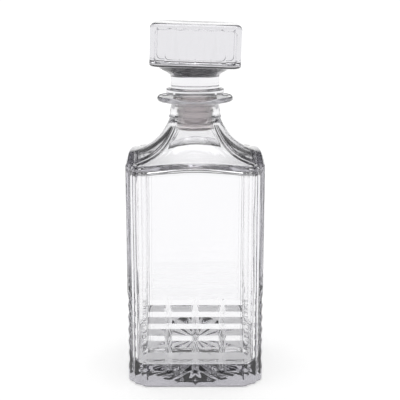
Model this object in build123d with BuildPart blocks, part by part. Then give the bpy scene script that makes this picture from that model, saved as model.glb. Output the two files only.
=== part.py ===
from build123d import *
import os
from math import acos, cos, degrees, radians, sin, sqrt

# Square spirit decanter of pressed and cut glass, with a glass stopper and its ribbed plastic seal.
# Millimetres. The origin is the centre of the base, +Z is up and -Y is the front.

# ---- Decanter body ----
BODY_HALF = 47.5            # half the width across two opposite faces
FACE_HALF = 34.0            # half the width of a face's flat panel
ARRIS_X, ARRIS_Y = 36.4, 46.4   # outer arris of the corner flutes
CORNER_RIDGE = 42.4         # x and y of the ridge on each corner's diagonal
FLUTE_SAGITTA = 0.6         # depth of the hollow flutes on the corners
HEEL_CHAMFER = 1.6          # bevel round the foot
PUNT_RADIUS = 34.0          # shallow hollow under the base
PUNT_DEPTH = 1.6

# Shoulder: a hollow arc below the neck, then a shallow cone out to the corners
SHOULDER_CENTRE = (53.7, 197.0)
SHOULDER_RADIUS = 37.8
CONE_ANGLE = 10.5           # degrees that the cone falls outwards
NECK_FOOT_Z = 184.9         # the arc ends here, at the bead
BEAD = 0.7
NECK_RADIUS = 17.9
NECK_STRAIGHT_TOP = 189.5
NECK_TOP = (17.0, 193.0)    # the neck narrows to here, under the lip
LIP_FOOT = (18.8, 194.6)    # the lip's underside runs from here to its rounded edge
LIP_EDGE_FOOT = (25.7, 196.6)
LIP_RADIUS = 26.8
LIP_EDGE_Z = 198.3
LIP_EDGE_TOP = 25.1         # radius of the lip's highest ring
LIP_TOP = 200.2
MOUTH_RADIUS = 16.4         # the lip's dish starts here, on the level rim of the mouth
MOUTH_Z = 196.6

# Inside of the bottle
WALL = 5.5                  # thickness of the shoulder
CAVITY_HALF = 42.0
CAVITY_CORNER = 12.0
FLOOR_Z = 15.0
FLOOR_FILLET = 4.0
BORE_RADIUS = 13.8

# Cuts in each face: rows of bricks below, tapering leaves above
CUT_DEPTH = 1.1
ROW_COUNT = 6
ROW_PITCH = 8.7
FIRST_VALLEY_Z = 17.1
COLUMN_PITCH = 18.7
COLUMN_HALF = 2.6           # half the width of an upright cut among the bricks
LEAF_DEPTH = 0.75
LEAF_HALF = 3.8             # half the width of a leaf at its foot
LEAF_TIPS = (142.0, 113.0, 142.0)   # height of each leaf's point, across the face
OVERSHOOT = 0.5             # how far a cutter stands out of the face

# Ribs over the shoulder: one hollow flute each side of every corner's diagonal
RIB_FLUTE_RADIUS = 9.6
RIB_FLUTE_DEPTH = 0.42      # where the cone meets the arc
RIB_FLUTE_ANGLE = 3.45      # degrees from the diagonal
RIB_FADE = 0.85             # the cut's circle is this much tighter, so it fades out at the neck
RIB_TILT = 1.2              # degrees by which the cut deepens outwards along the cone
RIB_ARC = 57.0              # degrees of the shoulder's arc that the flute follows
RIB_RUN = 24.0              # length of the flute along the cone

# ---- Stopper ----
HEAD_HALF = 30.9
HEAD_BOTTOM = 221.4
HEAD_HEIGHT = 29.2
HEAD_CORNER = 5.0
HEAD_TOP_EDGE = 3.4         # rounding of the upper edges
HEAD_LOW_EDGE = 2.4
HEAD_LEAN = 1.7             # degrees that the pressed head leans towards +X
PANEL_HALF = 27.5           # sunk panel on each side of the head
PANEL_FOOT = 2.6            # its lower and upper edges, above the head's lower face
PANEL_TOP = 25.2
PANEL_CORNER = 3.0
PANEL_DEPTH = 0.8
HEAD_FLUTE_COUNT = 4
HEAD_FLUTE_PITCH = 10.5
HEAD_FLUTE_HALF = 5.2       # half the width at the panel's lower edge
HEAD_FLUTE_DEPTH = 1.5
HEAD_FLUTE_TILT = 1.7       # degrees that the flute runs out upwards
HEAD_CONE_FOOT = (19.6, 216.2)
HEAD_CONE_TOP = (28.4, 221.2)
HEAD_CONE_SINK = 1.2        # how far the cone stands into the leaning head
SHANK_RADIUS = 17.2
SHANK_TOP = 213.2
SHANK_BEND = (17.9, 215.1)  # the shank's top sweeps through here to the cone
SHANK_FOOT_STEP = 1.0       # height of the slope between collar and shank
COLLAR_BOTTOM = 200.6
COLLAR_TOP = 205.0
COLLAR_FOOT_RADIUS = 20.1
COLLAR_RADIUS = 20.4
PEG_RADIUS = 9.0
PEG_BOTTOM = 178.6
PEG_BEVEL = 1.5

# ---- Seal ----
SEAL_BOTTOM = 175.4
SEAL_RADIUS = 12.4
SEAL_BEVEL = 1.0
SEAL_RING_RADIUS = 13.5
SEAL_RING_HALF = 0.9
SEAL_RINGS = (179.7, 184.3, 189.0, 193.4)
SEAL_FLANGE_RADIUS = 15.6
SEAL_FLANGE_TOP = 198.8
SEAL_TOP_RADIUS = 14.6
PEG_CLEARANCE = 0.06
SEAT_GAP = 0.05             # between the mouth, the flange and the collar

FAR = 72.0                  # beyond the corners of the body

os.makedirs("parts", exist_ok=True)

arc_x, arc_z = SHOULDER_CENTRE
inwards = Vector(-cos(radians(CONE_ANGLE)), 0, sin(radians(CONE_ANGLE)))
outwards = Vector(sin(radians(CONE_ANGLE)), 0, cos(radians(CONE_ANGLE)))


def arc_start(radius):
    """Where an arc of this radius about the shoulder's centre meets the cone."""
    return (arc_x - radius * outwards.X, arc_z - radius * outwards.Z)


def cone_end(radius):
    """The cone's height far outside the body, for an arc of this radius."""
    start_x, start_z = arc_start(radius)
    return (FAR, start_z + (FAR - start_x) * inwards.Z / inwards.X)


def v_points(depth, half):
    """A V-cutter's section about its place on the face: wide outside, its point inside."""
    spread = half * (1 + OVERSHOOT / depth)
    return [(-spread, -OVERSHOOT), (spread, -OVERSHOOT), (0, depth)]


# Inside of the bottle: a round-cornered square well under a shoulder that follows the outer one
inner_radius = SHOULDER_RADIUS + WALL
inner_end = (BORE_RADIUS, arc_z - sqrt(inner_radius**2 - (arc_x - BORE_RADIUS) ** 2))

with BuildPart() as cavity:
    with BuildSketch(Plane.XY.offset(FLOOR_Z)):
        RectangleRounded(2 * CAVITY_HALF, 2 * CAVITY_HALF, CAVITY_CORNER)
    extrude(amount=LIP_TOP - FLOOR_Z)
    fillet(cavity.edges().group_by(Axis.Z)[0], FLOOR_FILLET)
    with BuildSketch(Plane.XZ):
        with BuildLine():
            Polyline((0, LIP_TOP), (0, 0), (FAR, 0), cone_end(inner_radius), arc_start(inner_radius))
            RadiusArc(arc_start(inner_radius), inner_end, inner_radius)
            Polyline(inner_end, (BORE_RADIUS, LIP_TOP), (0, LIP_TOP))
        make_face()
    revolve(axis=Axis.Z, mode=Mode.INTERSECT)

with BuildPart() as decanter_body:
    # Walls: a square with a narrow bevel and two hollow flutes at each corner
    with BuildSketch():
        with BuildLine():
            Polyline((0, -BODY_HALF), (FACE_HALF, -BODY_HALF), (ARRIS_X, -ARRIS_Y))
            SagittaArc((ARRIS_X, -ARRIS_Y), (CORNER_RIDGE, -CORNER_RIDGE), FLUTE_SAGITTA)
            SagittaArc((CORNER_RIDGE, -CORNER_RIDGE), (ARRIS_Y, -ARRIS_X), FLUTE_SAGITTA)
            Polyline((ARRIS_Y, -ARRIS_X), (BODY_HALF, -FACE_HALF), (BODY_HALF, 0))
            mirror(about=Plane.XZ)
            mirror(about=Plane.YZ)
        make_face()
    extrude(amount=LIP_TOP + 1)
    chamfer(decanter_body.edges().group_by(Axis.Z)[0], HEEL_CHAMFER)

    # Shoulder, neck and lip: what lies outside this turned profile is taken away
    neck_foot = (arc_x - sqrt(SHOULDER_RADIUS**2 - (arc_z - NECK_FOOT_Z) ** 2), NECK_FOOT_Z)
    bead_top = (NECK_RADIUS, NECK_FOOT_Z + 2 * BEAD)
    with BuildSketch(Plane.XZ):
        with BuildLine():
            Polyline((0, 0), (FAR, 0), cone_end(SHOULDER_RADIUS), arc_start(SHOULDER_RADIUS))
            RadiusArc(arc_start(SHOULDER_RADIUS), neck_foot, SHOULDER_RADIUS)
            ThreePointArc(neck_foot, (NECK_RADIUS + BEAD, NECK_FOOT_Z + BEAD), bead_top)
            Polyline(bead_top, (NECK_RADIUS, NECK_STRAIGHT_TOP), NECK_TOP)
            TangentArc(NECK_TOP, LIP_FOOT, tangent=(0, 1))
            Line(LIP_FOOT, LIP_EDGE_FOOT)
            ThreePointArc(LIP_EDGE_FOOT, (LIP_RADIUS, LIP_EDGE_Z), (LIP_EDGE_TOP, LIP_TOP))
            Polyline((LIP_EDGE_TOP, LIP_TOP), (MOUTH_RADIUS, MOUTH_Z), (0, MOUTH_Z), (0, 0))
        make_face()
    revolve(axis=Axis.Z, mode=Mode.INTERSECT)
    add(cavity.part, mode=Mode.SUBTRACT)

    # Punt: a shallow hollow that leaves a level ring to stand on
    with BuildSketch(Plane.XZ):
        with BuildLine():
            ThreePointArc((-PUNT_RADIUS, 0), (0, PUNT_DEPTH), (PUNT_RADIUS, 0))
            Line((-PUNT_RADIUS, 0), (PUNT_RADIUS, 0))
        make_face()
        split(bisect_by=Plane.YZ, keep=Keep.TOP)
    revolve(axis=Axis.Z, mode=Mode.SUBTRACT)

    for turn in range(0, 360, 90):
        face_frame = Plane.XY.rotated((0, 0, turn))

        # Rows of bricks: level V-cuts that meet in sharp ridges
        ridge_z = FIRST_VALLEY_Z - ROW_PITCH / 2
        comb = [(-BODY_HALF - OVERSHOOT, ridge_z), (-BODY_HALF, ridge_z)]
        for row in range(ROW_COUNT):
            comb.append((-BODY_HALF + CUT_DEPTH, ridge_z + ROW_PITCH / 2))
            ridge_z += ROW_PITCH
            comb.append((-BODY_HALF, ridge_z))
        comb.append((-BODY_HALF - OVERSHOOT, ridge_z))
        with BuildSketch(Plane(origin=(0, 0, 0), x_dir=face_frame.y_dir, z_dir=face_frame.x_dir)):
            Polygon(*comb, align=None)
        extrude(amount=CORNER_RIDGE, both=True, mode=Mode.SUBTRACT)

        # Upright V-cuts that divide the rows
        column_foot = FIRST_VALLEY_Z - ROW_PITCH / 2
        with BuildSketch(face_frame.offset(column_foot)):
            with Locations(*[(place * COLUMN_PITCH, -BODY_HALF) for place in (-1, 0, 1)]):
                Polygon(*v_points(CUT_DEPTH, COLUMN_HALF), align=None)
        extrude(amount=ROW_COUNT * ROW_PITCH, mode=Mode.SUBTRACT)

        # Leaves: the same cuts carried up with a large wheel, so each runs out in a long point
        leaf_foot = column_foot + ROW_COUNT * ROW_PITCH
        for place, tip in zip((-1, 0, 1), LEAF_TIPS):
            wheel = (tip - leaf_foot) ** 2 / (2 * LEAF_DEPTH)
            centre = face_frame.from_local_coords((0, -BODY_HALF + LEAF_DEPTH - wheel, leaf_foot))
            sweep_angle = degrees(acos(1 - (LEAF_DEPTH + OVERSHOOT) / wheel))
            with BuildSketch(face_frame.offset(leaf_foot)):
                with Locations((place * COLUMN_PITCH, -BODY_HALF)):
                    Polygon(*v_points(LEAF_DEPTH, LEAF_HALF), align=None)
            revolve(
                axis=Axis(centre, face_frame.x_dir),
                revolution_arc=sweep_angle,
                mode=Mode.SUBTRACT,
            )

    # Ribs: hollow flutes follow the shoulder in pairs, and the ridges between them stand up
    for corner in range(45, 360, 90):
        for offset_angle in (-RIB_FLUTE_ANGLE, RIB_FLUTE_ANGLE):
            turned = Location((0, 0, 0), (0, 0, corner + offset_angle))
            radial = Plane(turned)
            start_x, start_z = arc_start(SHOULDER_RADIUS)
            lift = RIB_FLUTE_RADIUS - RIB_FLUTE_DEPTH
            place = Vector(start_x, 0, start_z) + outwards * lift
            pivot = Vector(arc_x, 0, arc_z) - outwards * RIB_FADE
            along = radial.from_local_coords(inwards) - radial.from_local_coords((0, 0, 0))
            out_along_cone = -along.rotate(Axis((0, 0, 0), radial.y_dir), -RIB_TILT)
            with BuildSketch(Plane(radial.from_local_coords(place), radial.y_dir, along)) as rib_section:
                Circle(RIB_FLUTE_RADIUS)
            revolve(
                axis=Axis(radial.from_local_coords(pivot), radial.y_dir),
                revolution_arc=RIB_ARC,
                mode=Mode.SUBTRACT,
            )
            extrude(rib_section.sketch, amount=RIB_RUN, dir=out_along_cone, mode=Mode.SUBTRACT)
decanter_body.part.label = "decanter_body"
export_step(decanter_body.part, "parts/decanter_body.step")

with BuildPart() as stopper:
    # Head: a block with round corners and edges, leaning a little as it was pressed
    head_frame = Plane(Location((0, 0, HEAD_BOTTOM), (0, HEAD_LEAN, 0)))
    with BuildSketch(head_frame):
        RectangleRounded(2 * HEAD_HALF, 2 * HEAD_HALF, HEAD_CORNER)
    extrude(amount=HEAD_HEIGHT)
    fillet(stopper.faces().sort_by(Axis.Z)[-1].edges(), HEAD_TOP_EDGE)
    fillet(stopper.faces().sort_by(Axis.Z)[0].edges(), HEAD_LOW_EDGE)

    first_flute = -(HEAD_FLUTE_COUNT - 1) / 2 * HEAD_FLUTE_PITCH
    flute_places = [first_flute + index * HEAD_FLUTE_PITCH for index in range(HEAD_FLUTE_COUNT)]
    for turn in range(0, 360, 90):
        side = head_frame.rotated((0, 0, turn))

        # Panel: a shallow sunk field that leaves a frame round the side
        panel_middle = side.from_local_coords((0, -HEAD_HALF - OVERSHOOT, (PANEL_FOOT + PANEL_TOP) / 2))
        with BuildSketch(Plane(panel_middle, side.x_dir, -side.y_dir)):
            RectangleRounded(2 * PANEL_HALF, PANEL_TOP - PANEL_FOOT, PANEL_CORNER)
        extrude(amount=-OVERSHOOT - PANEL_DEPTH, mode=Mode.SUBTRACT)

        # Flutes up the panel, wide at its lower edge and shallower towards the upper one
        run = side.z_dir * cos(radians(HEAD_FLUTE_TILT)) - side.y_dir * sin(radians(HEAD_FLUTE_TILT))
        with BuildSketch(side.offset(PANEL_FOOT)):
            with Locations(*[(place, -HEAD_HALF + PANEL_DEPTH) for place in flute_places]):
                Polygon(*v_points(HEAD_FLUTE_DEPTH, HEAD_FLUTE_HALF), align=None)
        extrude(amount=PANEL_TOP - PANEL_FOOT, dir=run, mode=Mode.SUBTRACT)

    # Cone, shank, collar and peg, turned about the neck's axis
    with BuildSketch(Plane.XZ):
        with BuildLine():
            Polyline(
                (0, PEG_BOTTOM),
                (PEG_RADIUS - PEG_BEVEL, PEG_BOTTOM),
                (PEG_RADIUS, PEG_BOTTOM + PEG_BEVEL),
                (PEG_RADIUS, COLLAR_BOTTOM),
                (COLLAR_FOOT_RADIUS, COLLAR_BOTTOM),
                (COLLAR_RADIUS, COLLAR_TOP),
                (SHANK_RADIUS, COLLAR_TOP + SHANK_FOOT_STEP),
                (SHANK_RADIUS, SHANK_TOP),
            )
            ThreePointArc((SHANK_RADIUS, SHANK_TOP), SHANK_BEND, HEAD_CONE_FOOT)
            Polyline(
                HEAD_CONE_FOOT,
                HEAD_CONE_TOP,
                (HEAD_CONE_TOP[0], HEAD_BOTTOM + HEAD_CONE_SINK),
                (0, HEAD_BOTTOM + HEAD_CONE_SINK),
                (0, PEG_BOTTOM),
            )
        make_face()
    revolve(axis=Axis.Z)
stopper.part.label = "stopper"
export_step(stopper.part, "parts/stopper.step")

with BuildPart() as stopper_seal:
    # A cup over the peg, with rings that grip the neck and a flange that sits on its mouth
    pocket = PEG_RADIUS + PEG_CLEARANCE
    seal_top = COLLAR_BOTTOM - SEAT_GAP
    flange_foot = MOUTH_Z + SEAT_GAP
    with BuildSketch(Plane.XZ):
        with BuildLine():
            Polyline((0, SEAL_BOTTOM), (SEAL_RADIUS - SEAL_BEVEL, SEAL_BOTTOM))
            Line((SEAL_RADIUS - SEAL_BEVEL, SEAL_BOTTOM), (SEAL_RADIUS, SEAL_BOTTOM + SEAL_BEVEL))
            below = (SEAL_RADIUS, SEAL_BOTTOM + SEAL_BEVEL)
            for ring_z in SEAL_RINGS:
                ring_foot = (SEAL_RADIUS, ring_z - SEAL_RING_HALF)
                ring_head = (SEAL_RADIUS, ring_z + SEAL_RING_HALF)
                Line(below, ring_foot)
                ThreePointArc(ring_foot, (SEAL_RING_RADIUS, ring_z), ring_head)
                below = ring_head
            Polyline(
                below,
                (SEAL_RADIUS, flange_foot),
                (SEAL_FLANGE_RADIUS, flange_foot),
                (SEAL_FLANGE_RADIUS, SEAL_FLANGE_TOP),
                (SEAL_TOP_RADIUS, SEAL_FLANGE_TOP),
                (SEAL_TOP_RADIUS, seal_top),
                (pocket, seal_top),
                (pocket, PEG_BOTTOM - PEG_CLEARANCE),
                (0, PEG_BOTTOM - PEG_CLEARANCE),
                (0, SEAL_BOTTOM),
            )
        make_face()
    revolve(axis=Axis.Z)
stopper_seal.part.label = "stopper_seal"
export_step(stopper_seal.part, "parts/stopper_seal.step")
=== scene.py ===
# %% [markdown]
# A cut crystal decanter with its stopper.
# The bottle, the stopper and the seal on the stopper's peg each get a fine mesh here.
# The engineering model is loaded first and fixes every size and place. Lengths are metres.

# %% Load the engineering model
from math import acos, asin, atan2, cos, degrees, hypot, pi, radians, sin, sqrt, tan

import bmesh
import bpy
from mathutils import Matrix, Vector


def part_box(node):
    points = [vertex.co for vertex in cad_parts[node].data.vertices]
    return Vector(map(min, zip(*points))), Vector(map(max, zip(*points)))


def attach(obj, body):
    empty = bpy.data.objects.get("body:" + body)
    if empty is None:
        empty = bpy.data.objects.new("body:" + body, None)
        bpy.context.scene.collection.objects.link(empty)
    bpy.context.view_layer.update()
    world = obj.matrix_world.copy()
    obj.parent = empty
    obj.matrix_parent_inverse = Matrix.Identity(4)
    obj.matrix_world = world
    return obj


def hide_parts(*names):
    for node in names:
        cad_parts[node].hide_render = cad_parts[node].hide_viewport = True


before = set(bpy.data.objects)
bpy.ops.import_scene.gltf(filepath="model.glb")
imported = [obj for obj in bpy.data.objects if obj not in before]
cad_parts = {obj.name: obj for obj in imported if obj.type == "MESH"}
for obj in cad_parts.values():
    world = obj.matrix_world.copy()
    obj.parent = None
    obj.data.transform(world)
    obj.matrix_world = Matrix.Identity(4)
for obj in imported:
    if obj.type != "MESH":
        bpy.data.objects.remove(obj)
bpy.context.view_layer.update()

mm = 0.001
body_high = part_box("decanter_body")[1]
stopper_low, stopper_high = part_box("stopper")
seal_low, seal_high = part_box("stopper_seal")
print("bottle", [round(v / mm, 1) for v in body_high], "stopper top", round(stopper_high.z / mm, 1))

# %% [markdown]
# Camera. The decanter is looked at from a little above its shoulder with a portrait lens, so
# its sides stay nearly upright. A small turn to the right leaves it just left of the middle.

# %% Camera
camera_data = bpy.data.cameras.new("camera")
camera_data.lens = 85
camera_data.sensor_width = 36
camera = bpy.data.objects.new("camera", camera_data)
bpy.context.scene.collection.objects.link(camera)
bpy.context.scene.camera = camera
camera_distance = 0.665
camera_height = 0.276
look_down = 12.84
turn_right = 0.30
camera.location = (0, -camera_distance, camera_height)
camera.rotation_euler = (radians(90 - look_down), 0, -radians(turn_right))
print("camera", tuple(round(v, 3) for v in camera.location))

# %% [markdown]
# Every skin in this file is drawn like a sock being knitted: one closed ring of edges is
# extruded again and again, and each new ring's vertices are put where a short rule says.
# A lathe (spin) would do for the round neck, but the bottle is square below and round above,
# and a ring that changes its outline as it rises joins the two with no seam.
# Each vertex remembers its column, and extruding copies that number up to the next ring.

# %% Drawing a skin ring by ring
def start_skin(places):
    """A mesh with one closed ring of edges through these places, numbered as columns."""
    bm = bmesh.new()
    column = bm.verts.layers.int.new("column")
    row = bm.verts.layers.int.new("row")
    ring = [bm.verts.new(place) for place in places]
    for number, vert in enumerate(ring):
        vert[column] = number
        vert[row] = 0
    edges = [bm.edges.new((ring[number - 1], ring[number])) for number in range(len(ring))]
    return bm, edges


def draw_ring(bm, edges, places, row_number):
    """Extrudes the last ring by one row and moves the new vertices to their places."""
    column = bm.verts.layers.int["column"]
    row = bm.verts.layers.int["row"]
    made = bmesh.ops.extrude_edge_only(bm, edges=edges)["geom"]
    for vert in made:
        if isinstance(vert, bmesh.types.BMVert):
            vert.co = places[vert[column]]
            vert[row] = row_number
    return [
        edge for edge in made
        if isinstance(edge, bmesh.types.BMEdge)
        and edge.verts[0][row] == edge.verts[1][row] == row_number
    ]


def draw_skin(rings):
    """A closed skin through all the rings, whose first and last are each at one point."""
    bm, edges = start_skin(rings[0])
    for row_number, places in enumerate(rings[1:], 1):
        edges = draw_ring(bm, edges, places, row_number)
    bmesh.ops.remove_doubles(bm, verts=bm.verts, dist=0.002 * mm)
    bmesh.ops.dissolve_degenerate(bm, edges=bm.edges, dist=0.001 * mm)
    bmesh.ops.recalc_face_normals(bm, faces=bm.faces)
    return bm


def finish_piece(bm, name, material, body, node):
    """Makes the object, shades it smooth with flats kept flat, and ties it to the model."""
    mesh = bpy.data.meshes.new(name)
    bm.to_mesh(mesh)
    bm.free()
    mesh.shade_smooth()
    mesh.materials.append(material)
    piece = bpy.data.objects.new(name, mesh)
    bpy.context.scene.collection.objects.link(piece)
    weighted = piece.modifiers.new("flat stays flat", "WEIGHTED_NORMAL")
    weighted.keep_sharp = True
    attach(piece, body)
    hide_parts(node)
    print(name, len(mesh.vertices), "vertices", len(mesh.polygons), "faces")


def arc_turns(start, end, steps):
    """Evenly spaced angles from start to end, both included."""
    return [start + (end - start) * step / steps for step in range(steps + 1)]


def turned(point, quarter):
    """A point given for the front, turned to one of the four sides."""
    x, y, z = point
    for _ in range(quarter):
        x, y = -y, x
    return Vector((x, y, z))


# %% [markdown]
# Clear crystal. Pressed and polished glass is never perfectly even: the surface rolls by a few
# hundredths of a millimetre and carries faint smears. A bump from slow noise bends the light as
# the real skin does, and a second noise lifts the roughness a trace in patches.

# %% Crystal glass
def crystal(name, tint, roll_size, roll_height, density):
    """Clear glass that dims long paths a little, and whose surface rolls gently, with faint smears."""
    material = bpy.data.materials.new(name)
    material.use_nodes = True
    nodes = material.node_tree.nodes
    links = material.node_tree.links
    shader = nodes["Principled BSDF"]
    shader.inputs["Base Color"].default_value = (*tint, 1)
    shader.inputs["Transmission Weight"].default_value = 1
    shader.inputs["IOR"].default_value = 1.53
    place = nodes.new("ShaderNodeTexCoord")
    smear = nodes.new("ShaderNodeTexNoise")
    smear.inputs["Scale"].default_value = 55
    smear.inputs["Detail"].default_value = 3
    smear_range = nodes.new("ShaderNodeMapRange")
    smear_range.inputs["From Min"].default_value = 0.45
    smear_range.inputs["From Max"].default_value = 0.75
    smear_range.inputs["To Min"].default_value = 0.0
    smear_range.inputs["To Max"].default_value = 0.035
    roll = nodes.new("ShaderNodeTexNoise")
    roll.inputs["Scale"].default_value = roll_size
    roll.inputs["Detail"].default_value = 1
    bump = nodes.new("ShaderNodeBump")
    bump.inputs["Strength"].default_value = 1
    bump.inputs["Distance"].default_value = roll_height
    links.new(place.outputs["Object"], smear.inputs["Vector"])
    links.new(place.outputs["Object"], roll.inputs["Vector"])
    links.new(smear.outputs["Fac"], smear_range.inputs["Value"])
    links.new(smear_range.outputs["Result"], shader.inputs["Roughness"])
    links.new(roll.outputs["Fac"], bump.inputs["Height"])
    links.new(bump.outputs["Normal"], shader.inputs["Normal"])
    depth = nodes.new("ShaderNodeVolumeAbsorption")
    depth.inputs["Color"].default_value = (0.79, 0.785, 0.805, 1)
    depth.inputs["Density"].default_value = density
    links.new(depth.outputs["Volume"], nodes["Material Output"].inputs["Volume"])
    return material


bottle_glass = crystal("bottle_crystal", (0.985, 0.985, 0.99), 90, 0.05 * mm, 34)
stopper_glass = crystal("stopper_crystal", (0.98, 0.98, 0.985), 110, 0.06 * mm, 22)
print("glass materials ready")

# %% [markdown]
# The bottle's outline. Each face is flat and 68 mm wide. A narrow bevel leads from it to a sharp
# arris, and two hollow flutes meet in a ridge on the corner. One quarter of the outline is
# listed as columns, and the same columns run from the foot to the lip and down the inside.

# %% Columns round the bottle
half = body_high.x
face_half = 34.0 * mm
arris = Vector((36.4 * mm, -46.4 * mm))
corner = Vector((42.4 * mm, -42.4 * mm))
flute_hollow = 0.6 * mm
flute_steps = 8
upright_centres = (-18.7 * mm, 0, 18.7 * mm)
upright_half = 2.6 * mm
plain_steps = (5, 4)        # columns between two uprights, and outside the outer ones


def flute_point(share):
    """A point of the hollow flute from the arris (0) to the corner ridge (1)."""
    chord = corner - arris
    radius = (chord.length ** 2 / 4 + flute_hollow ** 2) / (2 * flute_hollow)
    spread = asin(chord.length / 2 / radius)
    angle = spread * (2 * share - 1)
    along = chord.normalized()
    inward = Vector((-along.y, along.x))
    sink = radius * cos(angle) - radius + flute_hollow
    return (arris + corner) / 2 + along * radius * sin(angle) + inward * sink


def spread_between(start, end, steps):
    """Places from start to end, without either."""
    return [start + (end - start) * step / steps for step in range(1, steps)]


face_columns = [-face_half]
for centre in upright_centres:
    steps = plain_steps[1] if centre == upright_centres[0] else plain_steps[0]
    face_columns += spread_between(face_columns[-1], centre - upright_half, steps)
    face_columns += [centre - upright_half, centre, centre + upright_half]
face_columns += spread_between(face_columns[-1], face_half, plain_steps[1])
face_columns.append(face_half)

outline_columns = [("flute", -1, share / flute_steps) for share in range(flute_steps - 1, -1, -1)]
outline_columns += [("face", 0, x) for x in face_columns]
outline_columns += [("flute", 1, share / flute_steps) for share in range(flute_steps + 1)]
quarter_columns = len(outline_columns)
print(quarter_columns, "columns in a quarter of the bottle")


def column_angle(kind, side, value):
    """The column's direction from the middle of the bottle, measured from the face's middle."""
    if kind == "face":
        return atan2(value, half)
    point = flute_point(value)
    return side * atan2(point.x, -point.y)


column_angles = [column_angle(*column) for column in outline_columns]

# %% [markdown]
# The cuts. Six level V-grooves cross each face, one under the other, so their edges meet in
# sharp ridges, and three upright grooves divide them into bricks. Where two grooves of the same
# depth cross, they mitre along a diagonal. Above the bricks a wheel carried the uprights on as
# long leaves that narrow to a point. The columns beside each upright follow its edges, so every
# arris of the cutting is a real edge of the mesh.

# %% Cuts in the faces
cut_depth = 1.35 * mm
groove_count = 6
groove_pitch = 8.7 * mm
lowest_ridge = 12.75 * mm
upright_point = 10.4 * mm
leaf_foot = 66.4 * mm
leaf_half = 3.9 * mm
leaf_depth = 0.5 * mm
leaf_tips = (142 * mm, 113 * mm, 142 * mm)
leaf_rows = 24
highest_ridge = lowest_ridge + groove_count * groove_pitch


def upright_cut(number, z):
    """Half the width and the depth of an upright cut at this height."""
    if z < lowest_ridge:
        share = max(0, (z - upright_point) / (lowest_ridge - upright_point))
        return upright_half * share, cut_depth * share
    if z <= highest_ridge + 0.01 * mm:
        return upright_half, cut_depth
    share = (z - leaf_foot) / (leaf_tips[number] - leaf_foot)
    if share < 1:
        return leaf_half * (1 - share ** 2), leaf_depth * (1 - share ** 2)
    return min(upright_half, (z - leaf_tips[number]) * 0.4), 0


def slide(x, knots):
    """Moves x between knots, each a pair of a drawn place and the wanted place."""
    for (drawn, wanted), (next_drawn, next_wanted) in zip(knots, knots[1:]):
        if x <= next_drawn:
            return wanted + (x - drawn) * (next_wanted - wanted) / (next_drawn - drawn)
    return knots[-1][1]


def face_point(x, z, groove):
    """A point of the front face: x slides with the uprights, and y sinks with the deeper cut."""
    knots = [(-face_half, -face_half)]
    deepest = groove
    for number, centre in enumerate(upright_centres):
        width, depth = upright_cut(number, z)
        knots += [(centre - upright_half, centre - width), (centre + upright_half, centre + width)]
        if abs(x - centre) < upright_half:
            deepest = max(groove, depth * (1 - abs(x - centre) / upright_half))
    knots.append((face_half, face_half))
    return slide(x, knots), -half + deepest


def outline_point(column, z, groove):
    """A point of the wall's outline in the front quarter."""
    kind, side, value = column
    if kind == "face":
        return face_point(value, z, groove)
    point = flute_point(value)
    return side * point.x, point.y


def wall_ring(z, groove=0, inset=0):
    """One ring of the wall at this height, drawn in evenly by the inset."""
    shrink = 1 - inset / half
    ring = []
    for quarter in range(4):
        for column in outline_columns:
            x, y = outline_point(column, z, groove)
            ring.append(turned((x * shrink, y * shrink, z), quarter))
    return ring


def round_ring(radius, z):
    """One round ring, with the same columns."""
    ring = []
    for quarter in range(4):
        for angle in column_angles:
            ring.append(turned((radius * sin(angle), -radius * cos(angle), z), quarter))
    return ring


# %% [markdown]
# The foot. The bottle stands on a level ring: a shallow hollow (the punt) keeps the middle of
# the base off the table, and the lower edge is rounded where the mould was rounded. A star of
# rays is cut up into the hollow.

# %% Foot and wall
heel_radius = 1.8 * mm
punt_radius = 34 * mm
punt_depth = 1.6 * mm

star_points = 16
star_depth = 1.2 * mm


def star(angle):
    """How deep the star cut is in this direction: 1 on a ray and 0 halfway to the next."""
    return abs(1 - 2 * (angle * star_points / (2 * pi) % 1))


def punt_ring(share):
    """One ring of the hollow base, with the rays of the star cut up into it."""
    hollow = punt_depth * (1 - share ** 2)
    ring = []
    for quarter in range(4):
        for angle in column_angles:
            height = hollow + star_depth * star(angle) * 4 * share * (1 - share)
            across = punt_radius * share * sin(angle)
            outward = punt_radius * share * cos(angle)
            ring.append(turned((across, -outward, height), quarter))
    return ring


rings = [punt_ring(share) for share in (0, 0.15, 0.3, 0.45, 0.6, 0.75, 0.9, 1)]
for angle in arc_turns(0, pi / 2, 6):
    rings.append(wall_ring(heel_radius * (1 - cos(angle)), inset=heel_radius * (1 - sin(angle))))
first_wall_row = len(rings)
rings.append(wall_ring(6 * mm))
rings.append(wall_ring(upright_point))
rings.append(wall_ring(lowest_ridge))
for groove_number in range(groove_count):
    ridge = lowest_ridge + groove_number * groove_pitch
    rings.append(wall_ring(ridge + groove_pitch / 2, groove=cut_depth))
    rings.append(wall_ring(ridge + groove_pitch))
tips = sorted(set(leaf_tips))
leaf_heights = [leaf_foot]
for low, high, steps in ((leaf_foot, tips[0], leaf_rows * 2 // 3), (tips[0], tips[1], leaf_rows // 3)):
    leaf_heights += [low + (high - low) * step / steps for step in range(1, steps + 1)]
for height in leaf_heights:
    rings.append(wall_ring(height))
rings.append(wall_ring(148 * mm))
print(len(rings), "rings up to the top of the wall")

# %% [markdown]
# The shoulder. It is one turned surface, a shallow cone that sweeps up in a hollow arc to the
# neck, so where it meets the flat faces their tops are gently arched. The corner flutes carry
# on over it as ribs and fade out at the neck.

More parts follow.
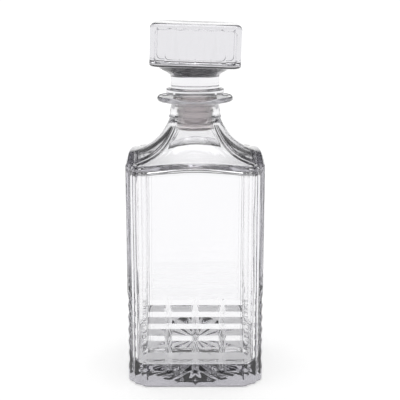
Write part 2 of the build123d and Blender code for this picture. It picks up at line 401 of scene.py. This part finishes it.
# %% Shoulder and its ribs
arc_centre = Vector((53.7 * mm, 197 * mm))
arc_radius = 37.8 * mm
cone_slope = radians(10.5)
neck_foot = 184.9 * mm
rib_hollow = 0.6 * mm
rib_fade = 1.17 * mm
rib_deepening = tan(radians(1.2))
arc_steps = 26
cone_steps = 4
wall_top = 148 * mm
bevel_foot = 159.2 * mm     # the wall ends here in the middle of a face
bevel_fall = radians(16.5)  # and falls off this steeply towards the corners
bevel_rib = 0.7 * mm
bevel_least = 0.62 * mm
bevel_growth = 0.08
arc_edge = arc_centre.x - arc_radius * sin(cone_slope)
rib_low = abs(column_angle("flute", 1, 0))
rib_half_angle = (pi / 4 - rib_low) / 2


def rib_depth(angle, depth):
    """How deep the rib's hollow is at this direction, for a depth in its middle."""
    off = (abs(angle) - rib_low - rib_half_angle) / rib_half_angle
    return depth * max(0, 1 - off ** 2)


def cone_point(angle, radius):
    """A point of the cone at this direction and distance from the middle."""
    depth = rib_depth(angle, rib_hollow + (radius - arc_edge) / cos(cone_slope) * rib_deepening)
    height = arc_centre.y - arc_radius * cos(cone_slope) - (radius - arc_edge) * tan(cone_slope)
    return radius, height - depth / cos(cone_slope)


def arc_point(angle, slope):
    """A point of the hollow arc at this direction and steepness."""
    depth = rib_depth(angle, max(0, rib_hollow - rib_fade * (1 - cos(slope - cone_slope))))
    reach = arc_radius + depth
    return arc_centre.x - reach * sin(slope), arc_centre.y - reach * cos(slope)


def shoulder_ring(rule):
    """One ring whose radius and height come from a rule of the column's place and direction."""
    ring = []
    for quarter in range(4):
        for column, angle in zip(outline_columns, column_angles):
            radius, z = rule(column, angle)
            ring.append(turned((radius * sin(angle), -radius * cos(angle), z), quarter))
    return ring


def wall_radius(column):
    """The distance of the wall from the middle in the column's direction."""
    x, y = outline_point(column, wall_top, 0)
    return hypot(x, y)


def rim_radius(column):
    """The distance of the bevel's upper edge from the middle."""
    radius = wall_radius(column)
    return radius - bevel_least - (radius - half) * bevel_growth


top_wall_row = len(rings)
top_ring = []
for quarter in range(4):
    for column, angle in zip(outline_columns, column_angles):
        x, y = outline_point(column, wall_top, 0)
        fall = (hypot(x, y) - half) * tan(bevel_fall) + rib_depth(angle, bevel_rib)
        top_ring.append(turned((x, y, bevel_foot - fall), quarter))
rings.append(top_ring)
rings.append(shoulder_ring(lambda column, angle: cone_point(angle, rim_radius(column))))
for step in range(1, cone_steps):
    share = step / cone_steps
    rings.append(shoulder_ring(
        lambda column, angle: cone_point(angle, rim_radius(column) * (1 - share) + arc_edge * share)
    ))
steepest = acos((arc_centre.y - neck_foot) / arc_radius)
for slope in arc_turns(cone_slope, steepest, arc_steps):
    rings.append(shoulder_ring(lambda column, angle: arc_point(angle, slope)))
print("shoulder from", round(cone_point(0, half)[1] / mm, 1), "to", round(neck_foot / mm, 1), "mm")

# %% [markdown]
# Neck and lip. A small bead marks the foot of the neck. The lip is thrown out as a thin sloping
# dish with a fully rounded edge, which lets the last drop run back.

# %% Neck, lip and mouth
neck_radius = 17.9 * mm
bead = 0.7 * mm
lip_top = body_high.z
bore_radius = 13.8 * mm


def add_turned(profile):
    """Adds a round ring for each radius and height of a turned profile."""
    for radius, z in profile:
        rings.append(round_ring(radius, z))


def rounded(corner_points, steps):
    """Rounds the middle of three points off with a smooth bend that starts and ends on the outer two."""
    (x0, z0), (x1, z1), (x2, z2) = corner_points
    bend = []
    for step in range(steps + 1):
        t = step / steps
        bend.append((
            (1 - t) ** 2 * x0 + 2 * t * (1 - t) * x1 + t ** 2 * x2,
            (1 - t) ** 2 * z0 + 2 * t * (1 - t) * z1 + t ** 2 * z2,
        ))
    return bend


bead_middle = neck_foot + bead
add_turned([
    (neck_radius + bead * sin(angle), bead_middle - bead * cos(angle))
    for angle in arc_turns(pi / 12, pi, 11)
])
add_turned([(neck_radius, 187.6 * mm), (neck_radius, 188.8 * mm)])
add_turned(rounded([(neck_radius, 189.4 * mm), (17.8 * mm, 190 * mm), (17.4 * mm, 191.6 * mm)], 5))
add_turned(rounded([(17.1 * mm, 192.8 * mm), (16.9 * mm, 194.0 * mm), (19 * mm, 194.65 * mm)], 8))
lip_tilt = atan2(3.0, 8.7)
lip_end = Vector((25.0 * mm, 198.3 * mm))
lip_half = 1.9 * mm
add_turned([(22 * mm, 195.6 * mm), (24.2 * mm, 196.3 * mm)])
add_turned([
    (lip_end.x + lip_half * sin(a - lip_tilt) * 0.94, lip_end.y - lip_half * cos(a - lip_tilt))
    for a in arc_turns(radians(25), radians(172), 12)
])
add_turned([(23.4 * mm, 199.3 * mm), (20.5 * mm, 198.15 * mm), (18 * mm, 197.15 * mm)])
add_turned(rounded([(17.2 * mm, 196.85 * mm), (16.4 * mm, 196.6 * mm), (15.8 * mm, 196.6 * mm)], 4))
add_turned(rounded([(14.9 * mm, 196.6 * mm), (bore_radius, 196.6 * mm), (bore_radius, 195.5 * mm)], 6))
print("mouth", round(bore_radius * 2 / mm, 1), "mm across, lip", round(lip_top / mm, 1), "mm high")

# %% [markdown]
# The inside. The bore opens into a round-cornered square room whose shoulder follows the outer
# one, and the floor is 15 mm up, because a heavy base is what makes crystal feel like crystal.
# The plunger that pressed the glass left its inner face slightly wavy, and that waviness is what
# breaks up the straight lines seen through it.

# %% Room inside the bottle
wall_thickness = 5.5 * mm
room_half = 42 * mm
room_corner = 12 * mm
floor_height = 15 * mm
floor_fillet = 4 * mm
room_bend = 4.5 * mm
inner_radius = arc_radius + wall_thickness
inner_edge = arc_centre.x - inner_radius * sin(cone_slope)


def room_radius(angle):
    """The room's half width in this direction, for a square with round corners."""
    angle = abs(angle)
    straight = room_half - room_corner
    if tan(angle) <= straight / room_half:
        return room_half / cos(angle)
    along = straight * (sin(angle) + cos(angle))
    return along + sqrt(along ** 2 - 2 * straight ** 2 + room_corner ** 2)


def inner_shoulder(radius):
    """The height of the room's ceiling at this distance from the middle."""
    if radius < inner_edge:
        return arc_centre.y - sqrt(inner_radius ** 2 - (arc_centre.x - radius) ** 2)
    edge_height = arc_centre.y - inner_radius * cos(cone_slope)
    return edge_height - (radius - inner_edge) * tan(cone_slope)


def waviness(angle, z, quarter):
    """The plunger's slight waves, in and out of the wall."""
    height = z / mm
    turn = angle + quarter * pi / 2
    slow = sin(height * 0.062 + 3 * turn + quarter) + 0.6 * sin(height * 0.031 - 5 * turn + 1)
    return 0.22 * mm * slow


def room_ring(rule):
    """One ring of the room: the rule gives radius and height from the column's direction."""
    ring = []
    for quarter in range(4):
        for angle in column_angles:
            radius, z = rule(angle)
            radius += waviness(angle, z, quarter) * min(1, radius / room_half)
            ring.append(turned((radius * sin(angle), -radius * cos(angle), z), quarter))
    return ring


bore_foot = inner_shoulder(bore_radius)
for share in (0.25, 0.5, 0.75):
    add_turned([(bore_radius, 195.5 * mm * (1 - share) + (bore_foot + 1.5 * mm) * share)])
steep = asin((arc_centre.x - bore_radius) / inner_radius)
shallow = asin((arc_centre.x - 37 * mm) / inner_radius)
add_turned(rounded([
    (bore_radius, bore_foot + 1.5 * mm),
    (bore_radius, bore_foot),
    (bore_radius + 0.7 * mm, inner_shoulder(bore_radius + 0.7 * mm)),
], 4))
for slope in arc_turns(steep, shallow, 24)[2:]:
    radius = arc_centre.x - inner_radius * sin(slope)
    rings.append(room_ring(lambda angle: (radius, inner_shoulder(radius))))
for step in range(1, 4):
    rings.append(room_ring(lambda angle: (
        37 * mm + (room_radius(angle) - room_bend - 37 * mm) * step / 3,
        inner_shoulder(37 * mm + (room_radius(angle) - room_bend - 37 * mm) * step / 3),
    )))
for step in range(1, 9):
    rings.append(room_ring(lambda angle: rounded([
        (room_radius(angle) - room_bend, inner_shoulder(room_radius(angle) - room_bend)),
        (room_radius(angle), inner_shoulder(room_radius(angle))),
        (room_radius(angle), inner_shoulder(room_radius(angle)) - room_bend),
    ], 8)[step]))
wall_steps = 26
lowest_wall = floor_height + floor_fillet
for step in range(1, wall_steps + 1):
    share = step / wall_steps
    rings.append(room_ring(lambda angle: (
        room_radius(angle),
        (inner_shoulder(room_radius(angle)) - room_bend) * (1 - share) + lowest_wall * share,
    )))
for angle_down in arc_turns(0, pi / 2, 8)[1:]:
    rings.append(room_ring(lambda angle: (
        room_radius(angle) - floor_fillet * (1 - cos(angle_down)),
        lowest_wall - floor_fillet * sin(angle_down),
    )))
for share in (0.8, 0.6, 0.4, 0.2, 0):
    rings.append(room_ring(lambda angle: ((room_radius(angle) - floor_fillet) * share, floor_height)))
print(len(rings), "rings in the whole bottle")

# %% [markdown]
# Arrises. The rings are joined, the crossing cuts are creased along their mitres, and every
# sharp edge of the wall is softened by a narrow bevel. Real cutting is polished after the wheel,
# and it is these tiny rounded edges that catch the light as bright and dark lines.

# %% Join, crease and soften
def mitre(bm, low, high):
    """Splits each bent quad of the crossing cuts from its proud corner to the one opposite."""
    for face in list(bm.faces):
        middle = face.calc_center_median()
        on_wall = low < middle.z < high and max(abs(middle.x), abs(middle.y)) >= room_half
        if len(face.verts) != 4 or not on_wall:
            continue
        corners = list(face.verts)
        side = Vector((0, -1 if middle.y < 0 else 1, 0))
        if abs(middle.x) > abs(middle.y):
            side = Vector((-1 if middle.x < 0 else 1, 0, 0))
        reach = [vert.co.dot(side) for vert in corners]
        proud = reach.index(max(reach))
        others = reach[:proud] + reach[proud + 1:]
        if max(reach) - max(others) > 0.3 * mm and max(others) - min(others) < 0.3 * mm:
            bmesh.utils.face_split(face, corners[proud], corners[proud - 2])


def sharp_edges(bm, first_row, last_row, least_angle):
    """Edges of these rows whose two faces turn by more than an angle."""
    row = bm.verts.layers.int["row"]
    return [
        edge for edge in bm.edges
        if len(edge.link_faces) == 2
        and all(first_row <= vert[row] <= last_row for vert in edge.verts)
        and edge.calc_face_angle() > least_angle
    ]


def soften(bm, edges, width, segments):
    """Rounds edges off with a narrow bevel."""
    bmesh.ops.bevel(
        bm, geom=edges, offset=width, segments=segments, profile=0.5,
        affect="EDGES", material=-1, clamp_overlap=True,
    )


bottle = draw_skin(rings)
mitre(bottle, upright_point, highest_ridge)
arrises = sharp_edges(bottle, first_wall_row, top_wall_row + 1, radians(9))
soften(bottle, arrises, 0.42 * mm, 3)
bmesh.ops.recalc_face_normals(bottle, faces=bottle.faces)
print(len(arrises), "arrises softened")
finish_piece(bottle, "decanter_crystal", bottle_glass, "bottle", "decanter_body")

# %% [markdown]
# The stopper. It was pressed in one piece: a square head with four V-flutes up each side, wide
# at the lower edge and running out towards the top, a cone, a shank, a collar that rests on the
# seal, and a peg. The head leans a little on its shank, as pressed stoppers often do.
# The same ring drawing is used, with columns that follow the flutes.

# %% Stopper columns
head_half = 30.9 * mm
head_corner = 5 * mm
head_bottom = 221.4 * mm
head_height = 29.2 * mm
head_low_edge = 2.4 * mm
head_top_edge = 3.4 * mm
head_lean = radians(1.7)
panel_half = 27.5 * mm
panel_foot = 2.6 * mm
panel_top = 25.2 * mm
panel_corner = 3 * mm
panel_depth = 1.0 * mm
panel_step = 0.45 * mm      # breadth of the steep step round the panel
flute_pitch = 10.5 * mm
flute_half = 5.2 * mm
flute_depth = 1.5 * mm
flute_run_out = tan(radians(1.7))
flute_arch = 0.9 * mm       # rise of the arched upper end of each flute
flute_centres = [(place - 1.5) * flute_pitch for place in range(4)]
corner_steps = 8

panel_start = asin((panel_half - head_half + head_corner) / head_corner)
panel_margin = 22.6 * mm    # the plain column between the outer flutes and the panel's corners
panel_bend = [24.6 * mm, 25.6 * mm, 26.3 * mm, 26.75 * mm, panel_half - panel_step]
flute_parts = (-1, -0.75, -0.5, -0.25, 0, 0.25, 0.5, 0.75, 1)
side_columns = [-place for place in reversed(panel_bend)] + [-panel_margin]
for centre in flute_centres:
    side_columns += [centre + part * flute_half for part in flute_parts]
side_columns += [panel_margin] + panel_bend
corner_turns = arc_turns(panel_start, pi / 4, corner_steps)
head_columns = [("corner", -1, turn) for turn in reversed(corner_turns[:-1])]
head_columns += [("side", 0, x) for x in side_columns]
head_columns += [("corner", 1, turn) for turn in corner_turns]


def head_place(column):
    """The column's place on the head's plain outline, before any flute."""
    kind, side, value = column
    middle = head_half - head_corner
    if kind == "side":
        off = max(0, abs(value) - middle)
        return value, -(middle + sqrt(head_corner ** 2 - off ** 2))
    return side * (middle + head_corner * sin(value)), -(middle + head_corner * cos(value))


head_angles = [atan2(head_place(column)[0], -head_place(column)[1]) for column in head_columns]


def flute_share(x):
    """How near x is to the middle of a flute: 1 there and 0 at its edges."""
    return max(max(0, 1 - abs(x - centre) / flute_half) for centre in flute_centres)


def panel_height(column, share, inner):
    """The height of a panel row: 0 is its lower edge and 1 its upper, on or inside the step."""
    inset = panel_step if inner else 0
    x = panel_half - inset
    if column[0] == "side":
        x = min(abs(head_place(column)[0]), x)
    bend = panel_corner - inset
    off = max(0, x - (panel_half - panel_corner))
    lift = inset + bend - sqrt(max(0, bend ** 2 - off ** 2))
    arch = flute_arch * (1 - (1 - flute_share(x)) ** 2) if column[0] == "side" and off == 0 else 0
    return (panel_foot + lift) * (1 - share) + (panel_top - lift + arch) * share


def head_point(column, height, inset, sunk=False):
    """A point of the head's side, on its plain outline or sunk into the fluted panel."""
    x, y = head_place(column)
    if not sunk or column[0] == "corner":
        shrink = 1 - inset / head_half
        return x * shrink, y * shrink, height
    depth = flute_depth - (height - panel_foot) * flute_run_out
    width = flute_half * depth / flute_depth
    knots = [(-head_half, -head_half), (-22.6 * mm, -22.6 * mm)]
    for centre in flute_centres:
        knots += [(centre - flute_half, centre - width), (centre + flute_half, centre + width)]
    knots += [(22.6 * mm, 22.6 * mm), (head_half, head_half)]
    return slide(x, knots), -head_half + panel_depth + depth * flute_share(x), height


def leaned(point):
    """A point of the head, tipped about the middle of its lower face."""
    return Matrix.Rotation(head_lean, 3, "Y") @ Vector(point) + Vector((0, 0, head_bottom))


def head_ring(height, inset=0):
    """One plain ring of the head."""
    return [
        leaned(turned(head_point(column, height, inset), quarter))
        for quarter in range(4) for column in head_columns
    ]


def panel_ring(share, inner):
    """One ring through the panels, on the step's outer edge or on the sunk field inside it."""
    return [
        leaned(turned(head_point(column, panel_height(column, share, inner), 0, inner), quarter))
        for quarter in range(4) for column in head_columns
    ]


def stem_ring(radius, z):
    """One round ring below the head."""
    return [
        turned((radius * sin(angle), -radius * cos(angle), z), quarter)
        for quarter in range(4) for angle in head_angles
    ]


print(4 * len(head_columns), "columns round the stopper")

# %% Stopper skin
peg_bottom = stopper_low.z
peg_radius = 9 * mm
collar_bottom = 200.6 * mm
collar_foot_radius = 20.1 * mm
collar_radius = 20.4 * mm
collar_top = 205 * mm
shank_radius = 17.2 * mm
shank_top = 213.2 * mm
cone_foot = (19.6 * mm, 216.2 * mm)
cone_top = (28.0 * mm, 220.95 * mm)
shank_bend = (17.9 * mm, 215.0 * mm)
cone_bend = [(18.3 * mm, 215.3 * mm), (19 * mm, 215.85 * mm), cone_foot]
soft = 0.7 * mm             # rounding of the collar's edges
peg_edge = 1.5 * mm         # rounding of the peg's lower edge
shank_flare = 1.2 * mm      # hollow rounding where the shank meets the collar

stem = [(0, peg_bottom), (peg_radius * 0.4, peg_bottom), (peg_radius * 0.7, peg_bottom)]
stem += rounded([
    (peg_radius - peg_edge, peg_bottom), (peg_radius, peg_bottom),
    (peg_radius, peg_bottom + peg_edge),
], 5)
stem += [(peg_radius, 187 * mm), (peg_radius, 194 * mm), (peg_radius, collar_bottom - 0.3 * mm)]
stem += [(peg_radius + 0.3 * mm, collar_bottom), (14 * mm, collar_bottom)]
stem += rounded([
    (collar_foot_radius - soft, collar_bottom), (collar_foot_radius, collar_bottom),
    (collar_foot_radius + 0.1 * mm, collar_bottom + soft),
], 5)
stem += rounded([
    (collar_radius - 0.1 * mm, collar_top - soft), (collar_radius, collar_top),
    (collar_radius - soft, collar_top),
], 5)
stem += rounded([
    (shank_radius + shank_flare, collar_top), (shank_radius, collar_top),
    (shank_radius, collar_top + shank_flare),
], 5)
stem += [(shank_radius, 208.5 * mm), (shank_radius, 211 * mm)]
stem += rounded([(shank_radius, shank_top), (shank_radius, shank_top + 1.4 * mm), shank_bend], 5)
stem += rounded(cone_bend, 3)
stem += [
    (cone_foot[0] * (1 - s) + cone_top[0] * s, cone_foot[1] * (1 - s) + cone_top[1] * s)
    for s in (0.33, 0.66)
]

stopper_rings = [stem_ring(radius, z) for radius, z in stem]
for share in (0.92, 1):
    radius = cone_foot[0] * (1 - share) + cone_top[0] * share
    stopper_rings.append([
        leaned(turned((radius * sin(a), -radius * cos(a), (share - 1) * 0.5 * mm), q))
        for q in range(4) for a in head_angles
    ])
for angle in arc_turns(0, pi / 2, 7):
    stopper_rings.append(head_ring(head_low_edge * (1 - cos(angle)), head_low_edge * (1 - sin(angle))))
first_panel_row = len(stopper_rings)
stopper_rings.append(panel_ring(0, False))
for step in range(13):
    stopper_rings.append(panel_ring(step / 12, True))
stopper_rings.append(panel_ring(1, False))
last_panel_row = len(stopper_rings) - 1
for angle in arc_turns(0, pi / 2, 8):
    height = head_height - head_top_edge * (1 - sin(angle))
    stopper_rings.append(head_ring(max(height, panel_top + 1.1 * mm), head_top_edge * (1 - cos(angle))))
top_dish = 0.5 * mm
for share in (0.92, 0.8, 0.6, 0.4, 0.2, 0):
    sink = top_dish * (1 - share ** 2)
    edge_ring = [head_point(column, head_height, head_top_edge) for column in head_columns]
    stopper_rings.append([
        leaned(turned((x * share, y * share, head_height - sink), quarter))
        for quarter in range(4) for x, y, _ in edge_ring
    ])

stopper_bm = draw_skin(stopper_rings)
flute_edges = sharp_edges(stopper_bm, first_panel_row, last_panel_row, radians(12))
soften(stopper_bm, flute_edges, 0.15 * mm, 2)
bmesh.ops.recalc_face_normals(stopper_bm, faces=stopper_bm.faces)
print(len(flute_edges), "flute edges softened")
finish_piece(stopper_bm, "stopper_crystal", stopper_glass, "stopper", "stopper")

# %% [markdown]
# The seal. A soft smoke-tinted sleeve over the peg, moulded with four rings that grip the neck
# and a flange that sits on the mouth. It is truly round, so its section is spun once. Moulds
# leave a fine parting line up the front and the back, and it shows through the glass.

# %% Seal
seal_bottom = seal_low.z
seal_radius = 12.4 * mm
seal_ring_radius = 13.5 * mm
seal_ring_half = 0.9 * mm
seal_rings = (179.7 * mm, 184.3 * mm, 189.0 * mm, 193.4 * mm)
flange_bottom = 196.65 * mm
flange_radius = seal_high.x
flange_top = 198.8 * mm
seal_top = seal_high.z
seal_top_radius = 14.6 * mm
pocket_radius = 9.06 * mm
pocket_bottom = peg_bottom - 0.06 * mm
parting_line = 0.14 * mm
flange_edge = 0.5 * mm

section = [(0, seal_bottom), (6 * mm, seal_bottom)]
section += rounded([
    (seal_radius - mm, seal_bottom), (seal_radius, seal_bottom),
    (seal_radius, seal_bottom + mm),
], 4)
for ring_z in seal_rings:
    section += [
        (seal_radius + (seal_ring_radius - seal_radius) * sin(angle), ring_z - seal_ring_half * cos(angle))
        for angle in arc_turns(0, pi, 8)
    ]
section += [(seal_radius, flange_bottom - 0.3 * mm), (seal_radius + 0.3 * mm, flange_bottom)]
section += rounded([
    (flange_radius - flange_edge, flange_bottom), (flange_radius, flange_bottom),
    (flange_radius, flange_bottom + flange_edge),
], 4)
section += rounded([
    (flange_radius, flange_top - flange_edge), (flange_radius, flange_top),
    (flange_radius - flange_edge, flange_top),
], 4)
section += [(seal_top_radius, flange_top + 0.2 * mm), (seal_top_radius, seal_top - 0.4 * mm)]
section += [(seal_top_radius - 0.4 * mm, seal_top), (pocket_radius + 0.4 * mm, seal_top)]
section += [(pocket_radius, seal_top - 0.4 * mm), (pocket_radius, pocket_bottom), (0, pocket_bottom)]

seal_bm = bmesh.new()
section_verts = [seal_bm.verts.new((radius, 0, z)) for radius, z in section]
section_edges = [seal_bm.edges.new(pair) for pair in zip(section_verts, section_verts[1:])]
bmesh.ops.spin(
    seal_bm, geom=section_verts + section_edges, cent=(0, 0, 0), axis=(0, 0, 1),
    angle=2 * pi, steps=96, use_merge=True, use_duplicate=False,
)
bmesh.ops.remove_doubles(seal_bm, verts=seal_bm.verts, dist=0.002 * mm)
for vert in seal_bm.verts:
    on_line = abs(vert.co.x) < 0.05 * mm
    if on_line and vert.co.xy.length > seal_radius - 0.1 * mm and vert.co.z < seal_top - 0.5 * mm:
        vert.co.xy *= 1 + parting_line / vert.co.xy.length
bmesh.ops.recalc_face_normals(seal_bm, faces=seal_bm.faces)

seal_plastic = bpy.data.materials.new("smoke_plastic")
seal_plastic.use_nodes = True
seal_nodes = seal_plastic.node_tree.nodes
seal_links = seal_plastic.node_tree.links
seal_shader = seal_nodes["Principled BSDF"]
seal_shader.inputs["IOR"].default_value = 1.5
seal_shader.inputs["Transmission Weight"].default_value = 0.85
seal_place = seal_nodes.new("ShaderNodeTexCoord")
seal_cloud = seal_nodes.new("ShaderNodeTexNoise")
seal_cloud.inputs["Scale"].default_value = 240
seal_cloud.inputs["Detail"].default_value = 4
seal_tone = seal_nodes.new("ShaderNodeValToRGB")
seal_tone.color_ramp.elements[0].position = 0.35
seal_tone.color_ramp.elements[0].color = (0.93, 0.87, 0.87, 1)
seal_tone.color_ramp.elements[1].position = 0.70
seal_tone.color_ramp.elements[1].color = (0.98, 0.94, 0.94, 1)
seal_haze = seal_nodes.new("ShaderNodeMapRange")
seal_haze.inputs["To Min"].default_value = 0.04
seal_haze.inputs["To Max"].default_value = 0.16
seal_grain = seal_nodes.new("ShaderNodeBump")
seal_grain.inputs["Strength"].default_value = 0.5
seal_grain.inputs["Distance"].default_value = 0.02 * mm
seal_links.new(seal_place.outputs["Object"], seal_cloud.inputs["Vector"])
seal_links.new(seal_cloud.outputs["Fac"], seal_tone.inputs["Fac"])
seal_links.new(seal_cloud.outputs["Fac"], seal_haze.inputs["Value"])
seal_links.new(seal_cloud.outputs["Fac"], seal_grain.inputs["Height"])
seal_links.new(seal_tone.outputs["Color"], seal_shader.inputs["Base Color"])
seal_links.new(seal_haze.outputs["Result"], seal_shader.inputs["Roughness"])
seal_links.new(seal_grain.outputs["Normal"], seal_shader.inputs["Normal"])
finish_piece(seal_bm, "smoke_seal", seal_plastic, "seal", "stopper_seal")

# %% [markdown]
# The floor and the light. A pale disc lies a hair below the base, because real glass never
# touches a table everywhere. The light is one plain soft surround, the same in every compass
# direction: white from the ground up to a little above the horizon, then a dim ceiling. The dark
# edges come from light that bends up to the ceiling and from long paths inside the glass.

# %% Floor and studio light
floor_radius = 0.16
floor_white = 0.9
floor_glow = 0.60           # light the floor gives off, so it stays as pale as the surround
air_film = 0.1 * mm         # glass never touches a table everywhere, so air is left under it
floor_mesh = bpy.data.meshes.new("floor")
floor_bm = bmesh.new()
bmesh.ops.create_circle(
    floor_bm, cap_ends=True, segments=96, radius=floor_radius,
    matrix=Matrix.Translation((0, 0, -air_film)),
)
floor_bm.to_mesh(floor_mesh)
floor_bm.free()
floor = bpy.data.objects.new("floor", floor_mesh)
bpy.context.scene.collection.objects.link(floor)
floor_paint = bpy.data.materials.new("floor_paint")
floor_paint.use_nodes = True
floor_shader = floor_paint.node_tree.nodes["Principled BSDF"]
floor_shader.inputs["Base Color"].default_value = (floor_white, floor_white, floor_white, 1)
floor_shader.inputs["Emission Color"].default_value = (1, 1, 1, 1)
floor_shader.inputs["Emission Strength"].default_value = floor_glow
floor_shader.inputs["Roughness"].default_value = 0.9
floor_shader.inputs["Specular IOR Level"].default_value = 0
floor_mesh.materials.append(floor_paint)

surround_light = 1.08
ceiling_light = 0.06
wall_end = 0.05             # sine of the height in the sky where the white begins to fade
ceiling_start = 0.18        # and where it has faded into the ceiling
world = bpy.data.worlds.new("studio")
bpy.context.scene.world = world
world.use_nodes = True
sky_nodes = world.node_tree.nodes
sky_links = world.node_tree.links


def sky_fade(value, start, end, low, high):
    """A smooth change of strength from low to high between two values."""
    node = sky_nodes.new("ShaderNodeMapRange")
    node.interpolation_type = "SMOOTHSTEP"
    for name, number in zip(("From Min", "From Max", "To Min", "To Max"), (start, end, low, high)):
        node.inputs[name].default_value = number
    sky_links.new(value, node.inputs["Value"])
    return node.outputs["Result"]


sky_place = sky_nodes.new("ShaderNodeTexCoord")
sky_split = sky_nodes.new("ShaderNodeSeparateXYZ")
sky_links.new(sky_place.outputs["Generated"], sky_split.inputs["Vector"])
strength = sky_fade(sky_split.outputs["Z"], wall_end, ceiling_start, surround_light, ceiling_light)
sky_links.new(strength, sky_nodes["Background"].inputs["Strength"])
sky_nodes["Background"].inputs["Color"].default_value = (1, 1, 1, 1)
bpy.context.scene.view_settings.view_transform = "Standard"
bpy.context.scene.cycles.max_bounces = 24
bpy.context.scene.cycles.transmission_bounces = 24
bpy.context.scene.cycles.glossy_bounces = 12

lamp_height = 1.5
lamp_size = 1.2
lamp_watts = 12
lamp_data = bpy.data.lights.new("soft_lamp", "AREA")
lamp_data.size = lamp_size
lamp_data.energy = lamp_watts
lamp = bpy.data.objects.new("soft_lamp", lamp_data)
lamp.location = (0, 0, lamp_height)
bpy.context.scene.collection.objects.link(lamp)
print("studio light ready")
